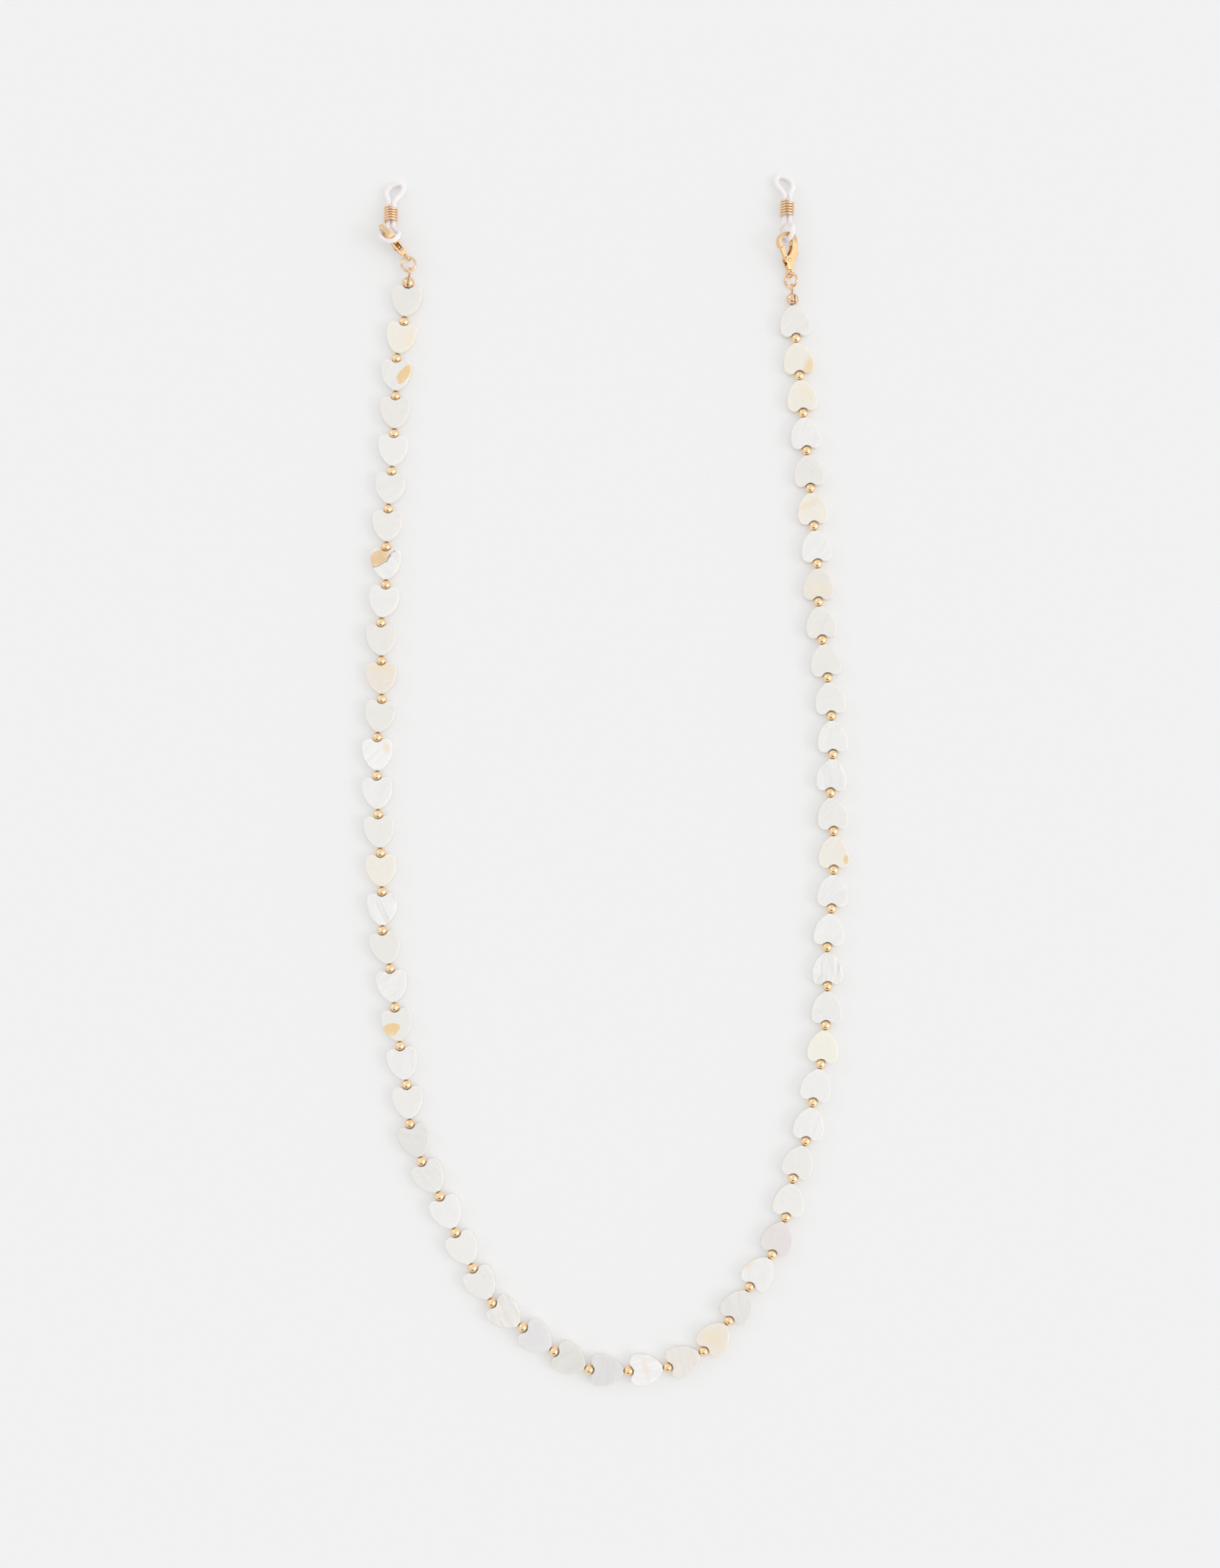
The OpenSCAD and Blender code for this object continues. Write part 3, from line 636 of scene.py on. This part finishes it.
def heart_blank():
    """One heart bead with its hole, cleft at the ball before it and tip at the ball after it."""
    lobe, side, corner = heart_outline()
    bm = bmesh.new()
    flat = math.degrees(math.asin(HEART_FLAT / 2 / CRADLE_R))
    cleft = bm.verts.new(CRADLE_R * along(flat) - Vector((0, 0, HEART_THICK / 2)))
    cleft_x = cleft.co.x
    lobe_vert = arc(bm, cleft, (0, 0, 0), angle_of(lobe) - flat, steps=6)
    shoulder = angle_of(lobe - side)
    shoulder_vert = arc(bm, lobe_vert, lobe, shoulder - angle_of(-lobe) % 360, steps=16)
    arc(bm, shoulder_vert, side, angle_of(corner - side) - shoulder, steps=12)
    bmesh.ops.mirror(bm, geom=bm.verts[:] + bm.edges[:], axis="Y", merge_dist=MERGE)
    ends = [v for v in bm.verts if len(v.link_edges) == 1]
    for end in (min, max):
        end_x = end(v.co.x for v in ends)
        bmesh.ops.contextual_create(bm, geom=[v for v in ends if abs(v.co.x - end_x) < NEAR])
    bmesh.ops.edgeloop_fill(bm, edges=bm.edges)
    made = bmesh.ops.extrude_face_region(bm, geom=bm.faces[:])
    raised = [v for v in made["geom"] if isinstance(v, bmesh.types.BMVert)]
    bmesh.ops.translate(bm, verts=raised, vec=(0, 0, HEART_THICK))
    outward(bm)
    rims = [
        e for e in bm.edges
        if abs(e.verts[0].co.z - e.verts[1].co.z) < NEAR
        and max(v.co.xy.length for v in e.verts) > CRADLE_R + NEAR
    ]
    bmesh.ops.bevel(
        bm, geom=rims, offset=HEART_ROUND, segments=3, profile=0.5, affect="EDGES", material=-1)
    drill(bm, cleft_x, corner.x)
    outward(bm)
    return blank_mesh("heart_blank", bm)


def heart_matrix(heart):
    roll = HEART_ROLL * math.sin(math.radians(heart * ROLL_STEP))
    return Matrix.Translation(SPOTS[heart - 1]) @ turn(heading(heart), "Z") @ turn(roll, "X")


def hearts(run, blank):
    """The hearts of one run, each cut from its own part of the shell."""
    name, first, last = run[:3]
    bm = bmesh.new()
    layers = bm.verts.layers
    vectors = {key: layers.float_vector.new(key) for key in ("shell_grain", "patch_place")}
    colors = {key: layers.float_color.new(key) for key in ("shell_tint", "patch_tint")}
    floats = {key: layers.float.new(key) for key in ("growth_lines_and_sheen", "rim", "dark_line")}
    middle = Vector(((PITCH - CLEFT_DEPTH) / 2, 0, 0))
    flat_z = HEART_THICK / 2 - NEAR
    wall_z = HEART_THICK / 2 - HEART_ROUND
    for heart in range(first, last + 1):
        chance = heart * LINES_STEP % 1
        plain_tint = Vector(PEARL).lerp(Vector(WHITE), heart * TINT_STEP % 1)
        plain_shell = (tuple(plain_tint), FAINTEST_LINES + LINES_SPREAD * chance**2, 180 * chance)
        tint, lines, lines_at = SPECIAL_SHELLS.get(heart, plain_shell)
        patch_tint, patch_x, patch_y, reach_x, reach_y, tilt, crisp = PATCHES.get(heart, NO_PATCH)
        patch_at = middle + HEART_LENGTH * Vector((patch_x, patch_y, 0))
        upright = turn(-tilt, "Z")
        cut = turn(90 - lines_at, "Z")
        offset = Vector((heart * CUT_STEP[0], heart * CUT_STEP[1], 0))
        matrix = heart_matrix(heart)
        back = matrix.inverted()
        for vert in joined(bm, blank, matrix):
            local = back @ vert.co
            vert[vectors["shell_grain"]] = cut @ (local - middle) + offset
            off = upright @ (local - patch_at) / HEART_LENGTH
            vert[vectors["patch_place"]] = (off.x / reach_x, off.y / reach_y, 0)
            vert[colors["shell_tint"]] = (*tint, 1)
            vert[colors["patch_tint"]] = (*patch_tint, crisp)
            # How strongly the growth lines and their painted sheen show
            vert[floats["growth_lines_and_sheen"]] = lines
            vert[floats["dark_line"]] = float(heart == LINED_HEART)
            # The rim runs from 0 on the flat faces to 1 on the walls, and carries the painted shade of
            # the bevels and walls
            vert[floats["rim"]] = min(1, max(0, (flat_z - abs(local.z)) / (flat_z - wall_z)))
    return mesh_piece(name + "_pearl_hearts", bm)


def ball_blank():
    """A drilled ball with soft rims round its hole, which runs along x."""
    bm = bmesh.new()
    rim = math.degrees(math.asin(BALL_BORE / BALL))
    start = bm.verts.new(BALL / 2 * along(rim))
    last = arc(bm, start, (0, 0, 0), 180 - 2 * rim, steps=18)
    bmesh.ops.contextual_create(bm, geom=[start, last])
    spun(bm, (1, 0, 0), 360, steps=32)
    outward(bm)
    hole = [
        e for e in bm.edges
        if abs(e.verts[0].co.x - e.verts[1].co.x) < NEAR
        and all(abs(v.co.yz.length - BALL_BORE / 2) < NEAR for v in e.verts)
    ]
    bmesh.ops.bevel(
        bm, geom=hole, offset=BALL_ROUND, segments=2, profile=0.5, affect="EDGES", material=-1)
    return blank_mesh("ball_blank", bm)


def balls(run, blank):
    first, last = run[3:]
    bm = bmesh.new()
    for ball in range(first, last + 1):
        joined(bm, blank, Matrix.Translation(SPOTS[ball]) @ turn(bore_heading(ball), "Z"))
    return mesh_piece(run[0] + "_gold_balls", bm)


def tube(name, points, radius, closed=False, roundness=6, swell=None):
    """A round tube along points, thicker where swell says."""
    curve = bpy.data.curves.new(name, "CURVE")
    curve.dimensions = "3D"
    curve.bevel_depth = radius
    curve.bevel_resolution = roundness
    curve.use_fill_caps = not closed
    line = curve.splines.new("POLY")
    line.points.add(len(points) - 1)
    line.use_cyclic_u = closed
    line.use_smooth = True
    for i, place in enumerate(points):
        line.points[i].co = (*place, 1)
        line.points[i].radius = 1 + (swell[i] if swell else 0)
    return placed(name, curve)


def cord_line(run):
    """Points of a run's cord: through its holes, into its outer ball, or into the crimp at an end."""
    name, first, last = run[:3]
    inset = SEAT + CORD_INSET
    line = [SPOTS[i] for i in range(first, last)]
    in_ball = [SPOTS[first - 1] - BALL_REACH * along(bore_heading(first - 1)), SPOTS[first - 1]]
    out_ball = [SPOTS[last], SPOTS[last] + BALL_REACH * along(bore_heading(last))]
    in_hole = [SPOTS[first - 1] + inset * along(heading(first))]
    out_hole = [SPOTS[last] - inset * along(heading(last))]
    half = CRIMP_LENGTH / 2
    if name == "center":
        return in_ball + line + out_ball
    if first == 1:
        way = along(heading(1))
        crimp = [tip_place("left") - half * way, tip_place("left") + half * way]
        return crimp + [SPOTS[0] + SEAT * way] + line + out_hole
    if last == HEART_COUNT:
        way = along(heading(last))
        crimp = [tip_place("right") - half * way, tip_place("right") + half * way]
        return in_hole + line + [SPOTS[last] - SEAT * way] + crimp
    if name.startswith("left"):
        return in_ball + line + out_hole
    return in_hole + line + out_ball


# Rings, coils, silicone loops and bead tips


def wire_ring(name, ring, wire, degrees, steps, matrix, rise=0.0):
    """A wire bent round z, or wound along it through a rise, with its ends closed."""
    bm = bmesh.new()
    place = Matrix.Translation((ring / 2, 0, 0)) @ turn(90, "X")
    bmesh.ops.create_circle(bm, radius=wire / 2, segments=14, matrix=place)
    spun(bm, UP, degrees, steps, rise=rise * UP)
    bmesh.ops.holes_fill(bm, edges=bm.edges, sides=0)
    outward(bm)
    bmesh.ops.transform(bm, matrix=matrix, verts=bm.verts)
    return mesh_piece(name, bm)


def jump_ring(side):
    """Open ring between the bead tip's hook and the clasp's tail."""
    hook = joint_place(side + "_ring_swing")
    tail = joint_place(side + "_clasp_swing")
    x = (tail - hook).normalized()
    lie = axes((hook + tail) / 2, x, UP.cross(x)) @ turn(RING_ROLL[side], "X")
    matrix = lie @ turn(90 + RING_CUT / 2, "Z")
    return wire_ring(side + "_open_ring", RING, RING_WIRE, 360 - RING_CUT, RING_STEPS, matrix)


def coil_frame(side):
    """Frame of a coil: x along it towards the large eye, y level."""
    low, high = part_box(side + "_slide_coil")
    x = joint_axis(side + "_coil_slide")
    return axes((low + high) / 2, x, UP.cross(x).normalized())


def coil(side):
    """Coil wound tight round the two legs of the silicone."""
    matrix = coil_frame(side) @ turn(90, "Y") @ Matrix.Translation((0, 0, -COIL_LENGTH / 2))
    return wire_ring(
        side + "_wound_coil", 2 * COIL_OUT - WOUND_WIRE, WOUND_WIRE, 360 * WOUND_TURNS,
        round(TURN_STEPS * WOUND_TURNS), matrix, rise=COIL_LENGTH)


def ease(t):
    u = min(1, max(0, t))
    return u * u * (3 - 2 * u)


def silicone_line(side):
    """The silicone's line in the coil's frame: large eye, leg, small eye, and the other leg."""
    leg_end = COIL_END + COIL_TRAVEL
    half = {"large": LARGE_EYE[1] / 2 - TUBE_R, "small": SMALL_EYE[1] / 2 - TUBE_R}
    top = {"large": COIL_END + LARGE_EYE[0] - TUBE_R, "small": COIL_END + SMALL_EYE[0] - TUBE_R}
    cap = {eye: top[eye] - half[eye] for eye in half}
    x_axis = joint_axis(side + "_coil_slide")
    sink = -x_axis.z
    level = math.sqrt(1 - sink * sink)
    centre = coil_frame(side).translation
    large_lift = (TUBE_R + EYE_FLOOR_GAP - centre.z + top["large"] * sink) / level
    grip_z = joint_place(side + "_loop_swing").z
    small_lift = SMALL_EYE_LIFT.get(side, grip_z - COIL_OUT)

    def spread(x):
        eye = "large" if x > 0 else "small"
        share = ease((abs(x) - leg_end) / (cap[eye] - leg_end))
        return LEG_AT + (half[eye] - LEG_AT) * share

    def lain(x, y):
        if x > 0:
            lift = large_lift * ease((x - leg_end) / (top["large"] - leg_end))
            lean = LARGE_EYE_LEAN[side] * (max(0, x - COIL_END) / (top["large"] - COIL_END)) ** 2
            return Vector((x, y + lean, lift))
        rolled = math.radians(SMALL_EYE_ROLL[side] * ease((-x - leg_end) / (cap["small"] - leg_end)))
        lift = small_lift * ease((-x - leg_end) / (top["small"] - leg_end))
        return Vector((x, y * math.cos(rolled), y * math.sin(rolled) + lift))

    def leg(sign):
        span = cap["large"] + cap["small"]
        gone = [span * i / LEG_STEPS for i in range(LEG_STEPS)]
        xs = [cap["large"] - t if sign > 0 else t - cap["small"] for t in gone]
        return [lain(x, sign * spread(x)) for x in xs]

    def eye_end(eye, sign):
        bends = [math.radians(-90 * sign + 180 * i / EYE_STEPS) for i in range(EYE_STEPS)]
        return [lain(sign * cap[eye] + half[eye] * math.cos(a), half[eye] * math.sin(a)) for a in bends]

    return eye_end("large", 1) + leg(1) + eye_end("small", -1) + leg(-1)


def silicone_loop(side):
    matrix = coil_frame(side)
    line = silicone_line(side)
    points = [matrix @ p for p in line]
    leg_end = COIL_END + COIL_TRAVEL
    swell_run = LARGE_EYE[0] / 3
    swell = [EYE_SWELL * ease((p.x - leg_end) / swell_run) for p in line]
    return tube(side + "_silicone_loop", points, TUBE_R, closed=True, roundness=8, swell=swell)


def half_shell(bm, matrix, seam_at, keep):
    """One half of a bead tip's shell, on the side of the seam that keep gives."""
    half = bmesh.new()
    hole = math.degrees(math.asin(TIP_HOLE_R / TIP_R))
    start = half.verts.new(TIP_R * along(180 - hole))
    arc(half, start, (0, 0, 0), hole - 180, steps=22)
    spun(half, (1, 0, 0), 360, steps=36)
    outward(half)
    plane = Vector((0, seam_at + keep * TIP_SEAM / 2, 0))
    bmesh.ops.bisect_plane(
        half, geom=half.verts[:] + half.edges[:] + half.faces[:], plane_co=plane,
        plane_no=(0, keep, 0), clear_inner=True)
    bmesh.ops.solidify(half, geom=half.faces[:], thickness=TIP_WALL)
    joined(bm, blank_mesh("half_shell", half), matrix)


def hook_prong(bm, matrix, y):
    """A wire from the shell that curls round into a hook."""
    neck = [
        Vector((TIP_R - TIP_WALL / 2, NECK_PINCH * y, 0)),
        Vector((HOOK_AT - HOOK_R - NECK_BEND, y, NECK_RISE)),
    ]
    bends = [math.radians(HOOK_START - HOOK_SWEEP * i / HOOK_STEPS) for i in range(HOOK_STEPS + 1)]
    curl = [Vector((HOOK_AT + HOOK_R * math.cos(a), y, HOOK_R * math.sin(a))) for a in bends]
    prong = tube("prong", neck + curl, PRONG / 2, roundness=3)
    joined(bm, prong.to_mesh(), matrix)
    prong.to_mesh_clear()
    bpy.data.objects.remove(prong)


def bead_tip(side):
    """Clam shell over the crimp, in two halves, with a hook of two prongs."""
    place = tip_place(side)
    x = (joint_place(side + "_ring_swing") - place).normalized()
    matrix = axes(place, x, UP.cross(x))
    bm = bmesh.new()
    for keep in (-1, 1):
        half_shell(bm, matrix, SEAM_AT[side], keep)
        hook_prong(bm, matrix, keep * PRONG_AT)
    outward(bm)
    return mesh_piece(side + "_clam_shell", bm)


# Clasps and crimps


def cad_copy(node_name):
    """A copy of a CAD node's mesh, with its triangles joined up."""
    bm = bmesh.new()
    bm.from_mesh(frame["nodes"][node_name].data)
    bmesh.ops.remove_doubles(bm, verts=bm.verts, dist=CAD_MERGE)
    return bm


def softened(name, node_name, width):
    """A CAD node's own shape with its edges rounded off."""
    bm = cad_copy(node_name)
    bmesh.ops.dissolve_limit(bm, angle_limit=math.radians(2), verts=bm.verts, edges=bm.edges)
    piece = mesh_piece(name, bm)
    rounding = piece.modifiers.new("rounded_edges", "BEVEL")
    rounding.width = width
    rounding.segments = 3
    rounding.limit_method = "ANGLE"
    rounding.angle_limit = math.radians(35)
    piece.modifiers.move(len(piece.modifiers) - 1, 0)
    return piece


def cast(name, node_name, passes):
    """A CAD node's own shape as a casting that is tumbled until its edges are round."""
    piece = mesh_piece(name, cad_copy(node_name), flat_faces=False)
    skin = piece.modifiers.new("skin", "REMESH")
    skin.mode = "VOXEL"
    skin.voxel_size = CAST_GRAIN
    skin.use_smooth_shade = True
    tumbling = piece.modifiers.new("tumbling", "SMOOTH")
    tumbling.factor = 0.5
    tumbling.iterations = passes
    return piece


# Camera, floor and light


def camera():
    """The strap lies flat and is seen from nearly straight above."""
    image_height_px = 2184
    focal_px = 3600
    aim = Vector((1.54, -4.91, 1.6)) * MM
    distance = 809.7 * MM
    tilt = math.radians(4.75)
    data = bpy.data.cameras.new("camera")
    data.sensor_width = 36
    data.lens = data.sensor_width * focal_px / image_height_px
    data.clip_start = 0.01
    made = placed("camera", data)
    made.location = aim + distance * Vector((0, -math.sin(tilt), math.cos(tilt)))
    made.rotation_euler = (tilt, 0, 0)
    scene.camera = made


def floor():
    """Matt pale paper, on which the shadows stay pale."""
    bm = bmesh.new()
    bmesh.ops.create_grid(bm, x_segments=1, y_segments=1, size=3)
    piece = placed("floor", blank_mesh("floor", bm))
    material, tree, shader = new_material("pale_paper")
    place = node(tree, "TexCoord").outputs["Object"]
    color = mixed(tree, noise(tree, place, 900, 2), (0.885, 0.885, 0.885), (0.899, 0.899, 0.899))
    settle(tree, shader, {"Base Color": color}, Roughness=1.0, Specular_IOR_Level=0.0)
    seen = node(tree, "LightPath").outputs
    straight = maths(tree, "MAXIMUM", seen["Is Camera Ray"], seen["Is Glossy Ray"])
    visible = maths(tree, "MAXIMUM", straight, seen["Is Transmission Ray"])
    glow = node(tree, "Emission", {"Color": color}).outputs["Emission"]
    share = maths(tree, "MULTIPLY", visible, FLOOR_GLOW)
    paper = node(tree, "MixShader", {0: share, 1: shader.outputs["BSDF"], 2: glow})
    tree.links.new(paper.outputs["Shader"], tree.nodes["Material Output"].inputs["Surface"])
    piece.data.materials.append(material)


def sun(name, direction, strength, spread):
    """A far soft lamp that shines from a direction."""
    data = bpy.data.lights.new(name, "SUN")
    data.energy = strength
    data.angle = math.radians(spread)
    placed(name, data).rotation_euler = Vector(direction).to_track_quat("Z", "Y").to_euler()


def studio():
    """Even pale surroundings with one dim patch in front, and soft lamps, mostly on the right."""
    world = bpy.data.worlds.new("studio")
    scene.world = world
    world.use_nodes = True
    tree = world.node_tree
    patch_x = -0.14
    patch_z = 0.60
    way = node(tree, "SeparateXYZ", {0: node(tree, "TexCoord").outputs["Generated"]}).outputs
    beside = maths(tree, "ABSOLUTE", maths(tree, "SUBTRACT", way["X"], patch_x))
    over = maths(tree, "ABSOLUTE", maths(tree, "SUBTRACT", way["Z"], patch_z))
    front = ranged(tree, way["Y"], -0.2, -0.45)
    patch = maths(tree, "MULTIPLY", ranged(tree, beside, 0.48, 0.28), ranged(tree, over, 0.20, 0.10))
    dim = maths(tree, "MULTIPLY", patch, front)
    background = tree.nodes["Background"]
    tree.links.new(mixed(tree, dim, (0.89, 0.89, 0.89), (0.06, 0.04, 0.02)), background.inputs["Color"])
    sun("broad", (0.85, -0.20, 0.55), 0.40, 70)
    sun("key", (0.80, -0.18, 0.57), 0.30, 14)
    sun("fill", (-0.75, 0.50, 0.42), 0.18, 17)
    scene.view_settings.view_transform = "Standard"


camera()
floor()
studio()

# The strand run by run, then both ends
HEART_BLANK = heart_blank()
BALL_BLANK = ball_blank()
for run in RUNS:
    name = run[0]
    dress(tube(name + "_nylon_cord", cord_line(run), CORD / 2), name + "_cord", NYLON)
    dress(hearts(run, HEART_BLANK), name + "_hearts", NACRE)
    dress(balls(run, BALL_BLANK), name + "_balls", BALL_GOLD)

for side in ("left", "right"):
    dress(bead_tip(side), side + "_bead_tip", WIRE_GOLD)
    dress(jump_ring(side), side + "_jump_ring", WIRE_GOLD)
    dress(coil(side), side + "_slide_coil", WIRE_GOLD)
    dress(silicone_loop(side), side + "_temple_loop", SILICONE)
    for part, passes in TUMBLING.items():
        node_name = side + "_" + part
        dress(cast(side + "_gold_" + part, node_name, passes), node_name, CAST_GOLD)
    for part, width in ROUNDED_EDGES.items():
        node_name = side + "_" + part
        dress(softened(side + "_gold_" + part, node_name, width), node_name, CAST_GOLD)
